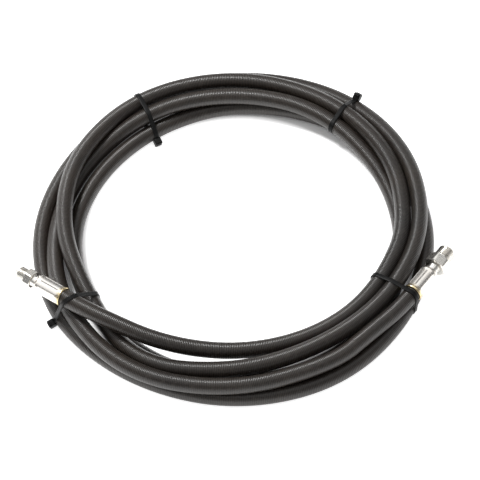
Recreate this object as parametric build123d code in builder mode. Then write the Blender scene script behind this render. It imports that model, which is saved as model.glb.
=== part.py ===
from build123d import *
import math
import os

# A two-wire hydraulic hose, 3/8 inch bore, lying in a coil of four turns tied with four cable ties.
# Millimetres. The object stands on Z = 0, and routes are given round the middle of the ring as
# (angle in degrees from +X, radius, height of the hose's centreline).

# Hose section, from the bore outwards
HOSE_OD = 17.5
HOSE_R = HOSE_OD / 2
BORE_OD = 9.5
INNER_TUBE_OD = 11.5
INNER_BRAID_OD = 12.7
BONDING_OD = 13.3
OUTER_BRAID_OD = 14.5

# Cable ties
STRAP_WIDTH = 4.8
STRAP_THICK = 1.3
HEAD_WIDTH = 7.6
HEAD_HEIGHT = 8.4
HEAD_DEPTH = 6.2
STUB_LENGTH = 2.6
TIE_OUTER = 215.0
TIE_INNER = 165.0

# The lower turns lie on the straps, the upper ones in the valleys between them
LOW = HOSE_R + STRAP_THICK
HIGH = LOW + 16.0

# Middle of the ring, so that the whole object's box is centred on the Z axis
RING_X = -3.0
RING_Y = -3.0

# Each turn as a ring: radius, centre X and Y from the middle of the coil, height
TURNS = [
    (189.0, 0.0, 3.0, HIGH - 0.6),
    (207.5, -3.5, 3.0, LOW),
    (179.0, 8.0, -6.0, LOW),
    (188.0, -6.0, -13.0, HIGH),
]

# The uncoiled stretches, each from its ferrule's mouth to inside the coil
LEFT_ROUTE = [
    (211.8, 206.3, 46.5),
    (219.2, 197.5, 48.0),
    (229.0, 185.5, 44.5),
    (240.5, 175.5, 36.0),
    (254.0, 166.0, 27.5),
    (270.0, 160.5, 22.0),
    (287.0, 159.5, 21.0),
    (304.0, 161.5, 20.0),
    (321.0, 165.0, 18.5),
    (337.0, 169.5, 18.5),
    (350.0, 180.0, 24.5),
]
RIGHT_ROUTE = [
    (334.1, 207.6, 28.4),
    (327.2, 204.8, 28.4),
    (315.5, 195.0, 26.8),
    (304.0, 195.0, 26.0),
]

# End fittings, measured along the fitting from the ferrule's mouth to the tip
FERRULE_OD = 20.4
FERRULE_LENGTH = 35.0
FERRULE_TAPER = 4.0
FERRULE_NOSE_OD = 15.4
CRIMP_MARKS = 8
CRIMP_DEPTH = 0.35
HOSE_END = 29.0
LOCK_LENGTH = 2.6
TAIL_BORE = 7.0
NECK_OD = 12.0
CHAMFER_ANGLE = 30.0
CONE_ANGLE = 37.0
CONE_LENGTH = 2.6
RELIEF_LENGTH = 1.8
THREAD_CHAMFER = 0.9

# Neck length, hexagon across flats and length, thread diameter and length to the tip, bore
LEFT_END = dict(neck=4.0, flats=17.46, hexagon=9.0, thread=14.288, nose=13.0, bore=7.5, bore_depth=20.0)
RIGHT_END = dict(neck=6.0, flats=22.23, hexagon=12.0, thread=19.05, nose=16.7, bore=9.9, bore_depth=26.0)

# Angle of each tie at its outer and inner side, the side its head is on, the height of the head,
# and the uncoiled stretches that it also goes round, as (radius, height)
TIES = {
    "back_right_tie": (54.0, 51.5, "outer", 13.0, []),
    "back_left_tie": (121.0, 122.2, "inner", 6.0, []),
    "front_left_tie": (213.9, 213.6, "outer", 6.0, [(203.6, 46.9)]),
    "front_right_tie": (332.4, 335.2, "inner", 9.0, [(206.8, 28.4), (168.0, 18.9)]),
}


def ring_point(angle, radius, height):
    a = math.radians(angle)
    return Vector(RING_X + radius * math.cos(a), RING_Y + radius * math.sin(a), height)


def turn_radius(turn, angle):
    """Distance from the middle of the coil to a turn, at an angle."""
    radius, x, y, _ = turn
    a = math.radians(angle)
    along = x * math.cos(a) + y * math.sin(a)
    across = x * math.sin(a) - y * math.cos(a)
    return along + math.sqrt(radius**2 - across**2)


def save(part, name, place=Location()):
    moved = part.moved(place)
    moved.label = name
    export_step(moved, f"parts/{name}.step")


def hose_coil():
    """The outer shape of the four turns, as one solid."""
    with BuildPart() as coil:
        for radius, x, y, height in TURNS:
            with Locations((RING_X + x, RING_Y + y, height)):
                Torus(radius, HOSE_R)
    return coil.part


def hose_run(name, route):
    """A plain tube along one uncoiled stretch."""
    points = [ring_point(*station) for station in route]
    runs = [end - start for start, end in zip(points, points[1:])]
    radii = []
    for before, after in zip(runs, runs[1:]):
        turn = math.radians(before.get_angle(after))
        radii.append(0.45 * min(before.length, after.length) / math.tan(turn / 2))
    with BuildPart() as run:
        with BuildLine() as path:
            FilletPolyline(*points, radius=radii)
        wire = path.wires()[0]
        with BuildSketch(Plane(origin=wire @ 0, z_dir=wire % 0)):
            Circle(HOSE_R)
        sweep(path=wire)
    expected = math.pi * HOSE_R**2 * wire.length
    print(name, "radii", [round(r) for r in radii], "length", round(wire.length))
    print(name, "runs", [round(r.length) for r in runs], "volume ratio", run.part.volume / expected)
    return run.part


def layer(inner, outer):
    """One layer of the hose's wall, inside the ferrule."""
    with BuildPart() as wall:
        with BuildSketch():
            Circle(outer / 2)
            Circle(inner / 2, mode=Mode.SUBTRACT)
        extrude(amount=HOSE_END)
    return wall.part


def ferrule():
    """Crimped sleeve: mouth at Z = 0, locked to the stem's neck at its nose."""
    nose = FERRULE_LENGTH - FERRULE_TAPER
    with BuildPart() as sleeve:
        with BuildSketch(Plane.XZ):
            with BuildLine():
                Polyline(
                    (HOSE_R, 0),
                    (FERRULE_OD / 2 - 0.5, 0),
                    (FERRULE_OD / 2, 0.5),
                    (FERRULE_OD / 2, nose),
                    (FERRULE_NOSE_OD / 2, nose + 2.2),
                    (FERRULE_NOSE_OD / 2, FERRULE_LENGTH),
                    (NECK_OD / 2, FERRULE_LENGTH),
                    (NECK_OD / 2, FERRULE_LENGTH - LOCK_LENGTH),
                    (HOSE_R, FERRULE_LENGTH - LOCK_LENGTH - 1.0),
                    close=True,
                )
            make_face()
        revolve(axis=Axis.Z)
        with BuildSketch(Plane.XY.offset(2.0)):
            with PolarLocations(FERRULE_OD / 2, CRIMP_MARKS):
                Rectangle(2 * CRIMP_DEPTH, 1.0)
        extrude(amount=nose - 2.0, mode=Mode.SUBTRACT)
    return sleeve.part


def stem(neck, flats, hexagon, thread, nose, bore, bore_depth):
    """Barbed tail inside the hose, neck, hexagon and male thread with a 37 degree cone."""
    hex_start = FERRULE_LENGTH + neck
    thread_start = hex_start + hexagon
    tip = thread_start + nose
    thread_r = thread / 2
    relief_r = thread_r - 1.1
    cone_r = thread_r - 1.4
    tip_r = cone_r - CONE_LENGTH * math.tan(math.radians(CONE_ANGLE))
    corner_r = flats / math.sqrt(3)
    rise = (corner_r - flats / 2) * math.tan(math.radians(CHAMFER_ANGLE))
    with BuildPart() as body:
        with BuildSketch(Plane.XZ):
            with BuildLine():
                Polyline(
                    (0, 0.8),
                    (BORE_OD / 2 - 0.5, 0.8),
                    (BORE_OD / 2, 2.6),
                    (BORE_OD / 2, HOSE_END + 0.6),
                    (NECK_OD / 2 - 1.0, HOSE_END + 0.6),
                    (NECK_OD / 2, FERRULE_LENGTH - LOCK_LENGTH),
                    (NECK_OD / 2, hex_start),
                    (relief_r, hex_start),
                    (relief_r, thread_start + RELIEF_LENGTH),
                    (thread_r, thread_start + RELIEF_LENGTH + thread_r - relief_r),
                    (thread_r, tip - CONE_LENGTH - THREAD_CHAMFER - 0.5),
                    (cone_r, tip - CONE_LENGTH - 0.4),
                    (cone_r, tip - CONE_LENGTH),
                    (tip_r, tip),
                    (0, tip),
                    close=True,
                )
            make_face()
        revolve(axis=Axis.Z)
        for start in range(4, int(HOSE_END), 5):
            with BuildSketch(Plane.XY.offset(start)):
                Circle(BORE_OD)
                Circle(BORE_OD / 2 - 0.45, mode=Mode.SUBTRACT)
            extrude(amount=0.9, mode=Mode.SUBTRACT)
        with BuildSketch(Plane.XY.offset(hex_start)):
            RegularPolygon(flats / 2, 6, major_radius=False)
        extrude(amount=hexagon)
        with BuildSketch(Plane.XZ):
            with BuildLine():
                Polyline(
                    (flats / 2 - 0.2, hex_start),
                    (corner_r + 1, hex_start),
                    (corner_r + 1, hex_start + rise),
                    (corner_r, hex_start + rise),
                    close=True,
                )
            make_face()
            with BuildLine():
                Polyline(
                    (flats / 2 - 0.2, thread_start),
                    (corner_r + 1, thread_start),
                    (corner_r + 1, thread_start - rise),
                    (corner_r, thread_start - rise),
                    close=True,
                )
            make_face()
        revolve(axis=Axis.Z, mode=Mode.SUBTRACT)
        with BuildSketch():
            Circle(TAIL_BORE / 2)
        extrude(amount=tip, mode=Mode.SUBTRACT)
        with BuildSketch(Plane.XY.offset(tip - bore_depth)):
            Circle(bore / 2)
        extrude(amount=bore_depth, mode=Mode.SUBTRACT)
    return body.part


def end_fitting(side, route, sizes):
    """Every piece of one end, in line with the first run of its route."""
    mouth = ring_point(*route[0])
    outward = mouth - ring_point(*route[1])
    place = Plane(origin=mouth, x_dir=Vector(0, 0, 1).cross(outward), z_dir=outward).location
    save(ferrule(), f"{side}_ferrule", place)
    save(stem(**sizes), f"{side}_stem", place)
    save(layer(BORE_OD, INNER_TUBE_OD), f"{side}_inner_tube", place)
    save(layer(INNER_TUBE_OD, INNER_BRAID_OD), f"{side}_inner_braid", place)
    save(layer(INNER_BRAID_OD, BONDING_OD), f"{side}_bonding_layer", place)
    save(layer(BONDING_OD, OUTER_BRAID_OD), f"{side}_outer_braid", place)
    save(layer(OUTER_BRAID_OD, HOSE_OD), f"{side}_cover_end", place)
    tip = FERRULE_LENGTH + sizes["neck"] + sizes["hexagon"] + sizes["nose"]
    axis = outward.normalized()
    print(side, "mouth", mouth, "axis", axis, "tip", mouth + axis * tip)


def cable_tie(outer_angle, inner_angle, head_side, head_height, runs):
    """Strap round the outside of every strand that it ties, its head and its cut end."""
    angle = (outer_angle + inner_angle) / 2
    middle = (TIE_OUTER + TIE_INNER) / 2
    origin = ring_point(angle, middle, 0)
    outward = ring_point(outer_angle, TIE_OUTER, 0) - ring_point(inner_angle, TIE_INNER, 0)
    section = Plane(origin=origin, x_dir=outward, z_dir=outward.cross(Vector(0, 0, 1)))
    strands = [(turn_radius(turn, angle), turn[3]) for turn in TURNS] + runs
    centres = [(radius - middle, height) for radius, height in strands]
    low = [x for x, height in centres if height < HIGH - 8]
    sign = 1 if head_side == "outer" else -1
    edge = sign * (max(sign * x for x in low) + HOSE_R + STRAP_THICK)
    with BuildPart() as tie:
        with BuildSketch(section):
            with Locations(*centres):
                Circle(HOSE_R + STRAP_THICK)
            make_hull()
        extrude(amount=STRAP_WIDTH / 2, both=True)
        with BuildSketch(section):
            with Locations((edge + sign * HEAD_DEPTH / 2 - sign * 0.8, head_height)):
                Rectangle(HEAD_DEPTH, HEAD_HEIGHT)
        extrude(amount=HEAD_WIDTH / 2, both=True)
        with BuildSketch(section):
            with Locations((edge + sign * (HEAD_DEPTH - 2.0), head_height + HEAD_HEIGHT / 2)):
                Rectangle(STRAP_THICK, 2 * STUB_LENGTH)
        extrude(amount=STRAP_WIDTH / 2, both=True)
        with BuildSketch(section):
            with Locations(*centres):
                Circle(HOSE_R)
            make_hull()
        extrude(amount=HEAD_WIDTH, both=True, mode=Mode.SUBTRACT)
    return tie.part


os.makedirs("parts", exist_ok=True)
save(hose_coil(), "hose_coil")
save(hose_run("left run", LEFT_ROUTE), "hose_left_run")
save(hose_run("right run", RIGHT_ROUTE), "hose_right_run")
end_fitting("left", LEFT_ROUTE, LEFT_END)
end_fitting("right", RIGHT_ROUTE, RIGHT_END)
for name, sizes in TIES.items():
    save(cable_tie(*sizes), name)
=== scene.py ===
import math

import bmesh
import bpy
from mathutils import Matrix, Vector


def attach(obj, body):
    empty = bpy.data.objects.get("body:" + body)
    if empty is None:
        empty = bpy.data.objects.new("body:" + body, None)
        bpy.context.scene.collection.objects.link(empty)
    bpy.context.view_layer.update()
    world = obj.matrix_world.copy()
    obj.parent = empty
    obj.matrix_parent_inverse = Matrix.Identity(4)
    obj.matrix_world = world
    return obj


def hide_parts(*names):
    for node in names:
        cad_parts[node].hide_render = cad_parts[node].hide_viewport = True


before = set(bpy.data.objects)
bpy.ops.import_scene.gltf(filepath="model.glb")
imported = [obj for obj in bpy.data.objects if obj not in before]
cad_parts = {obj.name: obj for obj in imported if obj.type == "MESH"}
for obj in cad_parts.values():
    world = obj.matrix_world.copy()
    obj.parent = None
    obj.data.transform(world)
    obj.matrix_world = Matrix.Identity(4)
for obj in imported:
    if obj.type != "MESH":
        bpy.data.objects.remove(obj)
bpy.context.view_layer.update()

# ---------------------------------------------------------------- sizes, in metres

HOSE_D = 0.0175
HOSE_R = HOSE_D / 2
STRAP_WIDTH = 0.0048
STRAP_THICK = 0.0013
RING = Vector((-0.0030, -0.003, 0.0))
RIB_PITCH = 0.0018

# The hose's route round the middle of the ring: (angle in degrees, radius, height of the centreline).
# First the stretch that comes out of the left ferrule and crosses over the coil.
LEFT_ROUTE = [
    (211.8, 0.2063, 0.0465),
    (219.2, 0.1975, 0.0480),
    (229.0, 0.1855, 0.0445),
    (240.5, 0.1755, 0.0360),
    (254.0, 0.1660, 0.0275),
    (270.0, 0.1605, 0.0220),
    (287.0, 0.1595, 0.0205),
    (304.0, 0.1615, 0.0195),
    (321.0, 0.1655, 0.0190),
    (338.0, 0.1720, 0.0250),
]

# Then four turns, as where the hose lies at every 30 degrees: the first goes round on top, the second
# drops to the floor outside it, the third runs inside on the floor, and the fourth climbs on top again
# but for one dip at the left. LOW is a strand on the floor, raised by a strap's thickness.
LOW = 0.0100
TURNS = [
    [
        (0.1785, 0.0280), (0.1910, 0.0278), (0.1980, 0.0265), (0.2020, 0.0252),
        (0.1995, 0.0266), (0.1905, 0.0283), (0.1785, 0.0325), (0.1735, 0.0290),
        (0.1980, 0.0230), (0.1855, 0.0285), (0.1760, 0.0268), (0.1834, 0.0275),
    ],
    [
        (0.1976, 0.0280), (0.2085, 0.0268), (0.2200, 0.0110), (0.2150, LOW),
        (0.2035, LOW), (0.1995, LOW), (0.2045, LOW), (0.2100, LOW),
        (0.2070, LOW), (0.2095, LOW), (0.2110, LOW), (0.2050, LOW),
    ],
    [
        (0.2055, LOW), (0.2000, LOW), (0.1865, LOW), (0.1765, LOW),
        (0.1658, LOW), (0.1636, LOW), (0.1694, LOW), (0.1740, LOW),
        (0.1810, LOW), (0.1900, LOW), (0.1890, LOW), (0.1840, LOW),
    ],
    [
        (0.1780, LOW), (0.1785, 0.0118), (0.1790, 0.0280), (0.1765, 0.0282),
        (0.1790, 0.0260), (0.1835, 0.0090), (0.1865, 0.0160), (0.2020, 0.0295),
        (0.2140, 0.0270), (0.2065, 0.0273), (0.1985, 0.0262),
    ],
]
STEP = 30.0
SPLINE_STEPS = 24

# Last, the end that runs up into the right ferrule.
RIGHT_ROUTE = [
    (316.0, 0.1990, 0.0270),
    (327.2, 0.2048, 0.0284),
    (334.1, 0.2076, 0.0284),
]


def ring_point(angle, radius, height):
    a = math.radians(angle)
    return RING + Vector((radius * math.cos(a), radius * math.sin(a), height))


def hose_points():
    """Control points of the whole hose. A spline cuts inside its points, so the turns' stand out."""
    points = [ring_point(*station) for station in LEFT_ROUTE]
    outside = 1 / math.cos(math.radians(STEP / 2))
    for turn in TURNS:
        for i, (radius, height) in enumerate(turn):
            points.append(ring_point(STEP * i, radius * outside, height))
    points += [ring_point(*station) for station in RIGHT_ROUTE]
    return points


def spline_line(name, points):
    """The smooth line that a NURBS spline draws through the route."""
    data = bpy.data.curves.new(name, "CURVE")
    data.dimensions = "3D"
    spline = data.splines.new("NURBS")
    spline.points.add(len(points) - 1)
    for control, place in zip(spline.points, points):
        control.co = (*place, 1.0)
    spline.order_u = 3
    spline.use_endpoint_u = True
    spline.resolution_u = SPLINE_STEPS
    bare = bpy.data.objects.new(name, data)
    mesh = bpy.data.meshes.new_from_object(bare)
    line = [v.co.copy() for v in mesh.vertices]
    bpy.data.meshes.remove(mesh)
    bpy.data.objects.remove(bare)
    bpy.data.curves.remove(data)
    return line


# ---------------------------------------------------------------- camera

CAMERA_DISTANCE = 2.996
CAMERA_TILT = math.radians(53.0)
CAMERA_AIM = RING + Vector((0.0070, 0.0, 0.0))
camera_data = bpy.data.cameras.new("camera")
camera_data.lens = 210.0
camera_data.sensor_width = 36.0
camera_data.clip_start = 0.1
camera_data.clip_end = 20.0
camera = bpy.data.objects.new("camera", camera_data)
away = Vector((0.0, -math.cos(CAMERA_TILT), math.sin(CAMERA_TILT)))
camera.location = CAMERA_AIM + CAMERA_DISTANCE * away
camera.rotation_euler = (math.radians(90.0) - CAMERA_TILT, 0.0, 0.0)
bpy.context.scene.collection.objects.link(camera)
bpy.context.scene.camera = camera


# ---------------------------------------------------------------- material helpers


def new_material(name):
    material = bpy.data.materials.new(name)
    material.use_nodes = True
    nodes = material.node_tree.nodes
    shader = next(n for n in nodes if n.type == "BSDF_PRINCIPLED")
    return material, nodes, material.node_tree.links, shader


def object_coordinates(nodes):
    return nodes.new("ShaderNodeTexCoord").outputs["Object"]


def noise(nodes, links, vector, scale, detail=4.0, roughness=0.55):
    node = nodes.new("ShaderNodeTexNoise")
    node.inputs["Scale"].default_value = scale
    node.inputs["Detail"].default_value = detail
    node.inputs["Roughness"].default_value = roughness
    links.new(vector, node.inputs["Vector"])
    return node.outputs["Fac"]


def remap(nodes, links, value, low, high, out_low, out_high):
    node = nodes.new("ShaderNodeMapRange")
    node.inputs["From Min"].default_value = low
    node.inputs["From Max"].default_value = high
    node.inputs["To Min"].default_value = out_low
    node.inputs["To Max"].default_value = out_high
    links.new(value, node.inputs["Value"])
    return node.outputs["Result"]


def math_node(nodes, links, operation, first, second):
    node = nodes.new("ShaderNodeMath")
    node.operation = operation
    for socket, value in zip(node.inputs, (first, second)):
        if isinstance(value, float):
            socket.default_value = value
        else:
            links.new(value, socket)
    return node.outputs["Value"]


def ramp(nodes, links, value, stops):
    node = nodes.new("ShaderNodeValToRGB")
    elements = node.color_ramp.elements
    while len(elements) < len(stops):
        elements.new(0.5)
    for element, (place, colour) in zip(elements, stops):
        element.position = place
        element.color = (*colour, 1.0)
    links.new(value, node.inputs["Fac"])
    return node.outputs["Color"]


def mix(nodes, links, factor, first, second, blend="MIX"):
    """Two colours mixed. A socket is linked, and a plain value is set."""
    node = nodes.new("ShaderNodeMix")
    node.data_type = "RGBA"
    node.blend_type = blend
    for name, value in (("Factor", factor), ("A", first), ("B", second)):
        if isinstance(value, (float, tuple)):
            node.inputs[name].default_value = value
        else:
            links.new(value, node.inputs[name])
    return node.outputs["Result"]


def grey(level):
    return (level, level, level)


def bump(nodes, links, height, distance, strength=1.0, under=None):
    node = nodes.new("ShaderNodeBump")
    node.inputs["Strength"].default_value = strength
    node.inputs["Distance"].default_value = distance
    links.new(height, node.inputs["Height"])
    if under is not None:
        links.new(under, node.inputs["Normal"])
    return node.outputs["Normal"]


# ---------------------------------------------------------------- materials


def hose_material():
    """Black rubber cover cured under a wound cloth, which leaves fine ribs round the hose. Rib crests
    carry a painted highlight and rib valleys a painted shade.
    """
    material, nodes, links, shader = new_material("hose_rubber")
    where = object_coordinates(nodes)
    along = nodes.new("ShaderNodeAttribute")
    along.attribute_name = "along"
    ribs = math_node(nodes, links, "MULTIPLY", along.outputs["Fac"], 2 * math.pi / RIB_PITCH)
    ribs = math_node(nodes, links, "SINE", ribs, 0.0)
    ribs = remap(nodes, links, ribs, -1.0, 1.0, 0.0, 1.0)
    grain = noise(nodes, links, where, 2600.0, 3.0)
    patches = noise(nodes, links, where, 9.0, 5.0)
    dust = noise(nodes, links, where, 160.0, 6.0, 0.7)
    rubber = [(0.3, (0.013, 0.0105, 0.009)), (0.55, (0.021, 0.017, 0.014)), (0.75, (0.016, 0.015, 0.014))]
    tone = ramp(nodes, links, patches, rubber)
    # Painted highlight and shade on the ribs: crests painted lighter, valleys painted darker, over the
    # rubber's own tone.
    rib_painted_shading = ramp(nodes, links, ribs, [(0.15, grey(0.35)), (0.9, (1.5, 1.45, 1.4))])
    tone = mix(nodes, links, 1.0, tone, rib_painted_shading, "MULTIPLY")
    dusty = remap(nodes, links, dust, 0.52, 0.80, 0.0, 0.40)
    tone = mix(nodes, links, dusty, tone, (0.060, 0.052, 0.045, 1.0))
    links.new(tone, shader.inputs["Base Color"])
    links.new(remap(nodes, links, dust, 0.3, 0.7, 0.30, 0.37), shader.inputs["Roughness"])
    fine = bump(nodes, links, grain, 0.00004, 0.4)
    links.new(bump(nodes, links, ribs, 0.00024, 1.0, fine), shader.inputs["Normal"])
    shader.inputs["Specular IOR Level"].default_value = 0.4
    return material


def zinc_material(name, base, warm, roughness, gold_mouth=False):
    """Bright zinc plating over turned or pressed steel, with fine scratches."""
    material, nodes, links, shader = new_material(name)
    where = object_coordinates(nodes)
    patches = noise(nodes, links, where, 60.0, 4.0)
    scratches = noise(nodes, links, where, 900.0, 2.0)
    tone = ramp(nodes, links, patches, [(0.35, base), (0.65, warm)])
    if gold_mouth:
        tone = gold_near_mouth(nodes, links, tone)
    links.new(tone, shader.inputs["Base Color"])
    shader.inputs["Metallic"].default_value = 1.0
    links.new(
        remap(nodes, links, scratches, 0.3, 0.7, roughness - 0.06, roughness + 0.08),
        shader.inputs["Roughness"],
    )
    links.new(bump(nodes, links, scratches, 0.00002, 0.4), shader.inputs["Normal"])
    return material


def gold_near_mouth(nodes, links, tone):
    """A yellow tint round the ferrule's mouth, fading out over its first six millimetres."""
    from_mouth = nodes.new("ShaderNodeAttribute")
    from_mouth.attribute_name = "from_mouth"
    near = remap(nodes, links, from_mouth.outputs["Fac"], 0.0004, 0.0060, 0.75, 0.0)
    return mix(nodes, links, near, tone, (0.60, 0.45, 0.17, 1.0))


def rubber_material():
    material, nodes, links, shader = new_material("tube_rubber")
    grain = noise(nodes, links, object_coordinates(nodes), 800.0)
    tone = ramp(nodes, links, grain, [(0.3, grey(0.012)), (0.7, grey(0.025))])
    links.new(tone, shader.inputs["Base Color"])
    shader.inputs["Roughness"].default_value = 0.6
    links.new(bump(nodes, links, grain, 0.00005, 0.4), shader.inputs["Normal"])
    return material


def braid_material():
    material, nodes, links, shader = new_material("braid_wire")
    where = object_coordinates(nodes)
    weave = nodes.new("ShaderNodeTexWave")
    weave.inputs["Scale"].default_value = 700.0
    weave.inputs["Distortion"].default_value = 1.5
    weave.bands_direction = "DIAGONAL"
    links.new(where, weave.inputs["Vector"])
    brass = [(0.2, (0.22, 0.15, 0.06)), (0.8, (0.62, 0.47, 0.22))]
    tone = ramp(nodes, links, weave.outputs["Fac"], brass)
    links.new(tone, shader.inputs["Base Color"])
    shader.inputs["Metallic"].default_value = 1.0
    shader.inputs["Roughness"].default_value = 0.35
    links.new(bump(nodes, links, weave.outputs["Fac"], 0.00015, 0.8), shader.inputs["Normal"])
    return material


def nylon_material():
    material, nodes, links, shader = new_material("tie_nylon")
    where = object_coordinates(nodes)
    grain = noise(nodes, links, where, 1500.0, 3.0)
    patches = noise(nodes, links, where, 90.0)
    tone = ramp(nodes, links, patches, [(0.3, grey(0.004)), (0.7, grey(0.009))])
    links.new(tone, shader.inputs["Base Color"])
    links.new(remap(nodes, links, patches, 0.3, 0.7, 0.30, 0.46), shader.inputs["Roughness"])
    links.new(bump(nodes, links, grain, 0.00004, 0.5), shader.inputs["Normal"])
    shader.inputs["Specular IOR Level"].default_value = 0.1
    return material


HOSE_RUBBER = hose_material()
TUBE_RUBBER = rubber_material()
BRAID_WIRE = braid_material()
TIE_NYLON = nylon_material()
FERRULE_STEEL = zinc_material("ferrule_steel", (0.70, 0.68, 0.65), (0.76, 0.72, 0.67), 0.24, True)
STEM_STEEL = zinc_material("stem_steel", (0.62, 0.61, 0.58), (0.70, 0.67, 0.62), 0.26)


# ---------------------------------------------------------------- mesh helpers


def add_piece(name, mesh, material):
    piece = bpy.data.objects.new(name, mesh)
    bpy.context.scene.collection.objects.link(piece)
    mesh.materials.clear()
    mesh.materials.append(material)
    for polygon in mesh.polygons:
        polygon.use_smooth = True
    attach(piece, "root")
    return piece


def skin(name, rings, closed=False, caps=False):
    """A mesh through rings of points, each ring with as many points."""
    vertices = [tuple(p) for ring in rings for p in ring]
    count = len(rings[0])
    faces = []
    last = len(rings) if closed else len(rings) - 1
    for i in range(last):
        here = i * count
        there = ((i + 1) % len(rings)) * count
        for j in range(count):
            k = (j + 1) % count
            faces.append((here + j, here + k, there + k, there + j))
    if caps:
        faces.append(tuple(reversed(range(count))))
        faces.append(tuple(range((len(rings) - 1) * count, len(rings) * count)))
    mesh = bpy.data.meshes.new(name)
    mesh.from_pydata(vertices, [], faces)
    mesh.validate()
    return mesh


def lengths_along(line):
    total = [0.0]
    for a, b in zip(line, line[1:]):
        total.append(total[-1] + (b - a).length)
    return total


# ---------------------------------------------------------------- hose

SIDES = 28


def tube_rings(line, radius, sides):
    """Rings round a line, turned as little as possible from one to the next."""
    rings = []
    side = Vector((0, 0, 1))
    for i, place in enumerate(line):
        ahead = line[min(i + 1, len(line) - 1)] - line[max(i - 1, 0)]
        ahead.normalize()
        side = (side - ahead * side.dot(ahead)).normalized()
        other = ahead.cross(side)
        ring = []
        for j in range(sides):
            a = 2 * math.pi * j / sides
            ring.append(place + radius * (math.cos(a) * side + math.sin(a) * other))
        rings.append(ring)
    return rings


def make_hose():
    line = spline_line("hose_line", hose_points())
    mesh = skin("hose", tube_rings(line, HOSE_R, SIDES), caps=True)
    along = mesh.attributes.new("along", "FLOAT", "POINT")
    for i, length in enumerate(lengths_along(line)):
        for j in range(SIDES):
            along.data[i * SIDES + j].value = length
    hose = add_piece("hose", mesh, HOSE_RUBBER)
    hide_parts("hose_coil", "hose_left_run", "hose_right_run")
    return hose, line


hose, hose_line = make_hose()

# ---------------------------------------------------------------- end fittings

FERRULE_LENGTH = 0.0350
FERRULE_R = 0.0102
HOSE_END = 0.0290
NECK_R = 0.0060
TAIL_R = 0.00475
TAIL_BORE_R = 0.0035
LOCK_LENGTH = 0.0026
CONE_LENGTH = 0.0026
CONE_SLOPE = math.tan(math.radians(37.0))
CHAMFER_SLOPE = math.tan(math.radians(30.0))
THREAD_DEPTH = 0.58
THREAD_RELIEF = 0.0014
ROUND = 96
CRIMPS = 8
COLLAR_R = 0.0077

# Neck and hexagon length, across flats, thread radius, pitch and length to the tip, bore radius and depth
LEFT_END = dict(
    neck=0.0040, flats=0.01746, hexagon=0.0090, thread_r=0.00714, pitch=0.00141,
    nose=0.0130, bore_r=0.00375, bore_depth=0.0200,
)
RIGHT_END = dict(
    neck=0.0060, flats=0.02223, hexagon=0.0120, thread_r=0.00952, pitch=0.00159,
    nose=0.0167, bore_r=0.00495, bore_depth=0.0260,
)


def smoothstep(low, high, value):
    t = min(max((value - low) / (high - low), 0.0), 1.0)
    return t * t * (3 - 2 * t)


def turned(name, rows, place, radius_at):
    """A closed mesh turned round its own Z axis from rows of (kind, radius, height)."""
    rings = []
    for kind, radius, height in rows:
        ring = []
        for j in range(ROUND):
            a = 2 * math.pi * j / ROUND
            r = radius_at(kind, radius, height, a)
            ring.append(place @ Vector((r * math.cos(a), r * math.sin(a), height)))
        rings.append(ring)
    mesh = skin(name, rings, closed=True)
    mesh.update()
    return mesh


def fitting_place(mouth, outward, turn_by):
    """The frame of a fitting: Z runs from the ferrule's mouth to the tip."""
    side = Vector((0, 0, 1)).cross(outward).normalized()
    up = outward.cross(side)
    base = Matrix((side, up, outward)).transposed().to_4x4()
    return Matrix.Translation(mouth) @ base @ Matrix.Rotation(math.radians(turn_by), 4, "Z")


def hexagon_radius(flats, angle):
    sixth = math.pi / 3
    return flats / 2 / math.cos((angle % sixth) - sixth / 2)


def thread_radius(top, pitch, height, angle, start, end):
    """A helical V thread, cut less deep where it runs out at both ends."""
    depth = THREAD_DEPTH * pitch
    phase = (height / pitch - angle / (2 * math.pi)) % 1.0
    wave = abs(2 * phase - 1.0)
    wave = min(max((wave - 0.10) / 0.80, 0.0), 1.0)
    runs = smoothstep(start, start + 0.6 * pitch, height) * (
        1 - smoothstep(end - 0.6 * pitch, end, height)
    )
    return top - depth * (1 - wave * runs)


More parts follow.
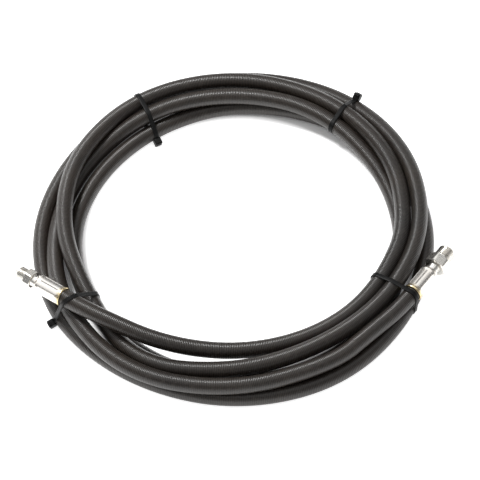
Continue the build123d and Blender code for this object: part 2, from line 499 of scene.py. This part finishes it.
def make_stem(side, place, neck, flats, hexagon, thread_r, pitch, nose, bore_r, bore_depth):
    """Tail inside the hose, neck, chamfered hexagon, thread and cone, bored right through."""
    hex_start = FERRULE_LENGTH + neck
    thread_start = hex_start + hexagon
    tip = thread_start + nose
    root_r = thread_r - THREAD_DEPTH * pitch
    thread_end = tip - CONE_LENGTH - 0.0006
    cone_r = thread_r - 0.0014
    tip_r = cone_r - CONE_LENGTH * CONE_SLOPE
    corner = flats / math.sqrt(3)
    rise = (corner - flats / 2) * CHAMFER_SLOPE
    face_r = flats / 2 - 0.0003
    rows = [
        ("round", TAIL_R - 0.0005, 0.0008),
        ("round", TAIL_R, 0.0026),
        ("round", TAIL_R, HOSE_END + 0.0006),
        ("round", NECK_R - 0.001, HOSE_END + 0.0006),
        ("round", NECK_R, FERRULE_LENGTH - LOCK_LENGTH),
        ("round", NECK_R, hex_start - 0.0008),
        ("round", NECK_R + 0.0002, hex_start - 0.0003),
        ("round", NECK_R + 0.0006, hex_start),
    ]
    steps = 6
    for i in range(steps + 1):
        rows.append(("hex", face_r, hex_start + rise * i / steps))
    for i in range(steps + 1):
        rows.append(("hex", face_r, thread_start - rise * (1 - i / steps)))
    rows.append(("round", root_r - 0.0001, thread_start))
    rows.append(("round", root_r - 0.0001, thread_start + 0.0012))
    fine = 10
    turns_long = (thread_end - thread_start - THREAD_RELIEF) / pitch
    for i in range(int(turns_long * fine) + 1):
        rows.append(("thread", thread_r, thread_start + THREAD_RELIEF + i * pitch / fine))
    rows += [
        ("round", cone_r, thread_end + 0.0002),
        ("round", cone_r, tip - CONE_LENGTH),
        ("round", tip_r + 0.0002, tip - 0.0002),
        ("round", tip_r - 0.0001, tip),
        ("round", bore_r + 0.0004, tip),
        ("round", bore_r, tip - 0.0004),
        ("round", bore_r, tip - bore_depth),
        ("round", TAIL_BORE_R, tip - bore_depth - 0.0008),
        ("round", TAIL_BORE_R, 0.0008),
    ]

    def radius_at(kind, radius, height, angle):
        if kind == "hex":
            reach = min(height - hex_start, thread_start - height) / CHAMFER_SLOPE
            return min(hexagon_radius(flats, angle), radius + reach)
        if kind == "thread":
            return thread_radius(radius, pitch, height, angle, thread_start + THREAD_RELIEF, thread_end)
        return radius

    mesh = turned(f"{side}_fitting", rows, place, radius_at)
    piece = add_piece(f"{side}_fitting", mesh, STEM_STEEL)
    mesh.set_sharp_from_angle(angle=math.radians(32.0))
    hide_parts(f"{side}_stem")
    return piece


def make_ferrule(side, place):
    """Crimped sleeve, with the ridges that the dies leave between them."""
    nose = FERRULE_LENGTH - 0.0040
    crimp_start, crimp_end = 0.0028, nose - 0.0016
    rows = [
        ("plain", HOSE_R, 0.0006),
        ("plain", HOSE_R + 0.0003, 0.0001),
        ("plain", FERRULE_R - 0.0006, 0.0),
        ("plain", FERRULE_R - 0.0001, 0.0004),
        ("plain", FERRULE_R + 0.0001, 0.0010),
        ("plain", FERRULE_R + 0.0001, 0.0020),
    ]
    steps = 16
    for i in range(steps + 1):
        rows.append(("crimp", FERRULE_R, 0.0023 + (nose - 0.0035) * i / steps))
    rows += [
        ("plain", FERRULE_R + 0.0001, nose - 0.0006),
        ("plain", FERRULE_R - 0.0001, nose),
        ("plain", FERRULE_R - 0.0011, nose + 0.0010),
        ("plain", COLLAR_R + 0.0001, nose + 0.0022),
        ("plain", COLLAR_R, nose + 0.0026),
        ("plain", COLLAR_R, FERRULE_LENGTH - 0.0003),
        ("plain", COLLAR_R - 0.0003, FERRULE_LENGTH),
        ("plain", NECK_R, FERRULE_LENGTH),
        ("plain", NECK_R, FERRULE_LENGTH - LOCK_LENGTH),
        ("plain", HOSE_R, FERRULE_LENGTH - 0.0036),
    ]

    def radius_at(kind, radius, height, angle):
        if kind == "plain":
            return radius
        squeezed = smoothstep(0.0020, crimp_start + 0.0012, height) * (
            1 - smoothstep(crimp_end - 0.0010, nose - 0.0010, height)
        )
        step = 2 * math.pi / CRIMPS
        off = abs((angle % step) - step / 2) * radius
        ridge = 0.00042 * math.exp(-((off / 0.00040) ** 2))
        flat = 0.00028 + 0.00008 * math.cos(CRIMPS * angle)
        return radius - squeezed * (flat - ridge)

    mesh = turned(f"{side}_sleeve", rows, place, radius_at)
    piece = add_piece(f"{side}_sleeve", mesh, FERRULE_STEEL)
    from_mouth = mesh.attributes.new("from_mouth", "FLOAT", "POINT")
    for i, (_, _, height) in enumerate(rows):
        for j in range(ROUND):
            from_mouth.data[i * ROUND + j].value = height
    mesh.set_sharp_from_angle(angle=math.radians(40.0))
    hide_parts(f"{side}_ferrule")
    return piece


left_place = fitting_place(hose_line[0], (hose_line[0] - hose_line[1]).normalized(), 12.0)
right_place = fitting_place(hose_line[-1], (hose_line[-1] - hose_line[-2]).normalized(), 20.0)
make_ferrule("left", left_place)
make_stem("left", left_place, **LEFT_END)
right_pieces = [make_ferrule("right", right_place), make_stem("right", right_place, **RIGHT_END)]

LAYER_MATERIALS = {
    "inner_tube": TUBE_RUBBER,
    "inner_braid": BRAID_WIRE,
    "bonding_layer": TUBE_RUBBER,
    "outer_braid": BRAID_WIRE,
    "cover_end": TUBE_RUBBER,
}
for side in ("left", "right"):
    for layer, material in LAYER_MATERIALS.items():
        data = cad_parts[f"{side}_{layer}"].data
        data.materials.clear()
        data.materials.append(material)


# ---------------------------------------------------------------- cable ties

# Outwards, along the strap and across it
HEAD = Vector((0.0078, 0.0086, 0.0078))
CUT_END = Vector((STRAP_THICK, 0.0032, STRAP_WIDTH))
HEAD_RAISED = Vector((0.0012, 0.0040, 0.0052))

# Angle of each tie at its outer and inner side, how far its top leans round the ring, in degrees, the
# side its head is on and the head's height
TIES = {
    "back_right": (52.6, 51.5, 0.0, "outer", 0.022),
    "back_left": (121.0, 122.2, 0.0, "inner", 0.0072),
    "front_left": (210.6, 210.8, 15.0, "outer", 0.0072),
    "front_right": (332.4, 335.2, 0.0, "inner", 0.009),
}
TIE_OUTER = 0.215
TIE_INNER = 0.165
TIE_REACH = 0.09


def hull(points):
    """Convex hull of flat points, in order round it."""
    points = sorted(set((round(x, 7), round(y, 7)) for x, y in points))

    def half(ordered):
        chain = []
        for p in ordered:
            while len(chain) > 1:
                (ax, ay), (bx, by) = chain[-2], chain[-1]
                if (bx - ax) * (p[1] - ay) - (by - ay) * (p[0] - ax) > 0:
                    break
                chain.pop()
            chain.append(p)
        return chain[:-1]

    return [Vector(p) for p in half(points) + half(reversed(points))]


def evenly(loop, count):
    """The same closed loop as so many points an equal distance apart."""
    closed = loop + [loop[0]]
    total = lengths_along(closed)
    spaced = []
    k = 0
    for i in range(count):
        want = total[-1] * i / count
        while total[k + 1] < want:
            k += 1
        t = (want - total[k]) / (total[k + 1] - total[k])
        spaced.append(closed[k].lerp(closed[k + 1], t))
    return spaced


def tie_section(outer_angle, inner_angle, lean):
    """Frame of a tie: X away from the ring's middle, Y up the tie, Z along the strands."""
    outer = ring_point(outer_angle, TIE_OUTER, 0.0)
    inner = ring_point(inner_angle, TIE_INNER, 0.0)
    x = (outer - inner).normalized()
    y = Matrix.Rotation(math.radians(-lean), 3, x) @ Vector((0, 0, 1))
    return Matrix.Translation(inner) @ Matrix((x, y, x.cross(y))).transposed().to_4x4()


def strands_in(section):
    """Where the hose passes through a tie, and how much its slanting section is stretched."""
    to_section = section.inverted()
    local = [to_section @ p for p in hose_line]
    found = []
    for a, b in zip(local, local[1:]):
        if a.z * b.z <= 0 and a.z != b.z and abs(a.x) < TIE_REACH:
            t = a.z / (a.z - b.z)
            slant = abs((b - a).normalized().z)
            found.append((a.lerp(b, t), (b - a).normalized(), slant))
    return found


def strap_loop(section):
    """The strap's inner line: a taut loop round every strand in the tie."""
    outline = []
    for middle, ahead, slant in strands_in(section):
        flat = Vector((ahead.x, ahead.y))
        flat = flat.normalized() if flat.length > 1e-6 else Vector((1, 0))
        for j in range(72):
            a = 2 * math.pi * j / 72
            point = Vector((math.cos(a), math.sin(a))) * HOSE_R
            point += flat * point.dot(flat) * (1 / slant - 1)
            outline.append((middle.x + point.x, middle.y + point.y))
    return evenly(hull(outline), 240)


def strap_rings(loop, section):
    """Rings of the strap's own section: a flat band with rounded edges and a shallow track."""
    half, thick = STRAP_WIDTH / 2, STRAP_THICK
    band = [
        (-half, 0.15), (-half, 0.75), (-half + 0.0004, 1.0), (-half * 0.55, 1.0), (-half * 0.5, 0.86),
        (half * 0.5, 0.86), (half * 0.55, 1.0), (half - 0.0004, 1.0), (half, 0.75), (half, 0.15),
        (half - 0.0003, 0.0), (-half + 0.0003, 0.0),
    ]
    rings = []
    count = len(loop)
    for i, place in enumerate(loop):
        ahead = (loop[(i + 1) % count] - loop[i - 1]).normalized()
        outwards = Vector((ahead.y, -ahead.x))
        ring = []
        for across, out in band:
            p = place + outwards * out * thick
            ring.append(section @ Vector((p.x, p.y, across)))
        rings.append(ring)
    return rings


def rounded_block(bm, frame_of_block, size, edge):
    """A block with rounded edges, added to a bmesh."""
    made = bmesh.ops.create_cube(bm, size=1.0)
    verts = made["verts"]
    bmesh.ops.scale(bm, vec=size, verts=verts)
    edges = list({e for v in verts for e in v.link_edges})
    rounded = bmesh.ops.bevel(bm, geom=edges, offset=edge, segments=3, affect="EDGES", profile=0.5)
    verts = list({v for f in rounded["faces"] for v in f.verts} | {v for v in verts if v.is_valid})
    bmesh.ops.transform(bm, matrix=frame_of_block, verts=verts)


def make_tie(name, outer_angle, inner_angle, lean, head_side, head_height):
    """Strap, head and cut end of one cable tie, as one mesh."""
    section = tie_section(outer_angle, inner_angle, lean)
    loop = strap_loop(section)
    strap = skin(f"{name}_strap", strap_rings(loop, section), closed=True)
    sign = 1 if head_side == "outer" else -1
    middle = sum((p.x for p in loop)) / len(loop)
    side = [p for p in loop if sign * (p.x - middle) > 0]
    at = min(side, key=lambda p: abs(p.y - head_height))
    i = loop.index(at)
    ahead = (loop[(i + 1) % len(loop)] - loop[i - 1]).normalized()
    out = Vector((ahead.y, -ahead.x))
    if ahead.y < 0:
        ahead = -ahead
    x, y = out.to_3d(), ahead.to_3d()
    facing = Matrix((x, y, x.cross(y))).transposed().to_4x4()

    def block_frame(outward_by, along_by):
        p = at + out * outward_by + ahead * along_by
        return section @ Matrix.Translation((p.x, p.y, 0)) @ facing

    bm = bmesh.new()
    bm.from_mesh(strap)
    rounded_block(bm, block_frame(HEAD.x / 2 - 0.0002, 0.0), HEAD, 0.0009)
    rounded_block(bm, block_frame(HEAD.x - 0.0022, HEAD.y / 2 + 0.0008), CUT_END, 0.0003)
    rounded_block(bm, block_frame(HEAD.x - 0.0004, -0.0004), HEAD_RAISED, 0.0004)
    bm.to_mesh(strap)
    bm.free()
    piece = add_piece(f"{name}_tie_strap", strap, TIE_NYLON)
    strap.set_sharp_from_angle(angle=math.radians(50.0))
    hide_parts(f"{name}_tie")


for name, sizes in TIES.items():
    make_tie(name, *sizes)


# ---------------------------------------------------------------- floor and light

FLOOR_HALF = 5.0
FLOOR_GLOW = 0.80

# Painted shadow under the coil: the floor's glow fades out over a ring there. Its centre, and where the
# fade starts and ends inside and outside
PAINTED_SHADOW_CENTRE = RING + Vector((0.003, 0.008, 0.0))
PAINTED_SHADOW_INSIDE = (0.158, 0.166)
PAINTED_SHADOW_OUTSIDE = (0.204, 0.214)

LIGHT_FROM = (-0.25, 0.20, 0.95)
WORLD_STRENGTH = 1.6
WORLD_BANDS = [(0.0, 0.50), (0.25, 0.18), (0.60, 0.14), (0.78, 0.9), (1.0, 0.8)]

KEY_PLACE = (-0.85, 0.60, 1.5)
KEY_AIM = (-0.1, 0.0, 0.0)
KEY_SIZE = (0.36, 0.30)
KEY_POWER = 34.0


def make_floor():
    """A white floor that glows like a light table, with a painted shadow where the glow fades out over a
    ring under the coil.
    """
    half = FLOOR_HALF
    data = bpy.data.meshes.new("floor")
    corners = [(-half, -half, 0), (half, -half, 0), (half, half, 0), (-half, half, 0)]
    data.from_pydata(corners, [], [(0, 1, 2, 3)])
    floor = bpy.data.objects.new("floor", data)
    bpy.context.scene.collection.objects.link(floor)
    material, nodes, links, shader = new_material("floor_white")
    soft = noise(nodes, links, object_coordinates(nodes), 0.4)
    tone = ramp(nodes, links, soft, [(0.3, grey(0.90)), (0.7, grey(0.92))])
    links.new(tone, shader.inputs["Base Color"])
    shader.inputs["Roughness"].default_value = 0.9
    shader.inputs["Emission Color"].default_value = (1.0, 1.0, 1.0, 1.0)
    from_ring = nodes.new("ShaderNodeVectorMath")
    from_ring.operation = "DISTANCE"
    from_ring.inputs[1].default_value = PAINTED_SHADOW_CENTRE
    links.new(object_coordinates(nodes), from_ring.inputs[0])
    # Painted shadow: the glow drops to a tenth over a ring under the coil.
    inside = remap(nodes, links, from_ring.outputs["Value"], *PAINTED_SHADOW_INSIDE, 1.0, 0.1)
    outside = remap(nodes, links, from_ring.outputs["Value"], *PAINTED_SHADOW_OUTSIDE, 0.0, 0.9)
    glow_less_painted_shadow = math_node(nodes, links, "ADD", inside, outside)
    links.new(math_node(nodes, links, "MULTIPLY", glow_less_painted_shadow, FLOOR_GLOW), shader.inputs["Emission Strength"])
    data.materials.append(material)


def area_light(name, place, aim, size, power):
    data = bpy.data.lights.new(name, "AREA")
    data.shape = "RECTANGLE"
    data.size, data.size_y = size
    data.energy = power
    light = bpy.data.objects.new(name, data)
    light.location = place
    light.rotation_euler = (Vector(aim) - Vector(place)).to_track_quat("-Z", "Y").to_euler()
    bpy.context.scene.collection.objects.link(light)


def world_light(bands):
    """Soft light all round, in bands of brightness round the direction that most of it comes from."""
    world = bpy.data.worlds.new("studio")
    bpy.context.scene.world = world
    world.use_nodes = True
    nodes, links = world.node_tree.nodes, world.node_tree.links
    background = nodes["Background"]
    upwards = nodes.new("ShaderNodeVectorMath")
    upwards.operation = "DOT_PRODUCT"
    upwards.inputs[1].default_value = Vector(LIGHT_FROM).normalized()
    links.new(nodes.new("ShaderNodeTexCoord").outputs["Generated"], upwards.inputs[0])
    tone = ramp(nodes, links, upwards.outputs["Value"], [(z, grey(b)) for z, b in bands])
    links.new(tone, background.inputs["Color"])
    background.inputs["Strength"].default_value = WORLD_STRENGTH


make_floor()
world_light(WORLD_BANDS)
area_light("key", KEY_PLACE, KEY_AIM, KEY_SIZE, KEY_POWER)
bpy.context.scene.view_settings.view_transform = "Standard"
